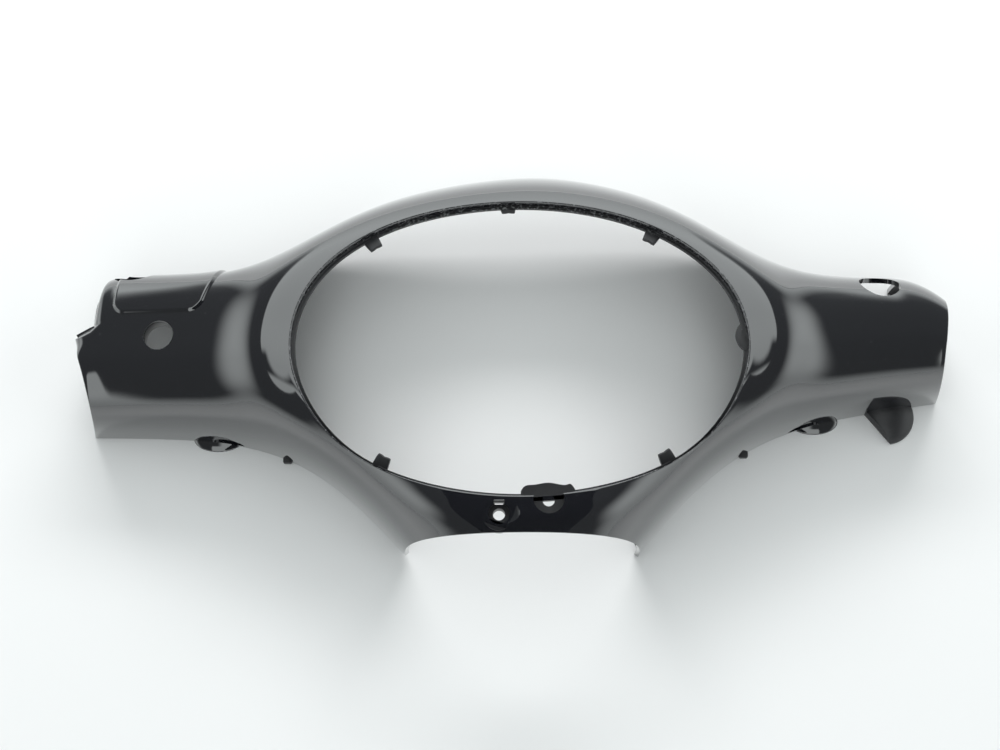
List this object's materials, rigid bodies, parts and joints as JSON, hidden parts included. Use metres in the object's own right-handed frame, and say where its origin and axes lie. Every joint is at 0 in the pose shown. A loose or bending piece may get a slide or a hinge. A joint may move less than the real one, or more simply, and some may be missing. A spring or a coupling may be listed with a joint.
{
  "type": "handlebar cover",
  "caption": "Glossy black moulded front half shell of a scooter's handlebar, with a large oval lamp opening, two hollow arms with mirror holes and a short neck.",
  "frame": {"origin": "under the centre of the oval lamp opening, on the flat plane of the rear edges", "axes": "+X along the arms towards the right-hand arm in the picture, +Y towards the hood, +Z out of the front face"},
  "size_m": [0.4481, 0.2012, 0.0694],
  "materials": {
    "gloss_black": "glossy black moulded plastic, duller on the inside"
  },
  "bodies": {
    "root": {"handlebar_cover": "gloss_black"}
  },
  "joints": []
}
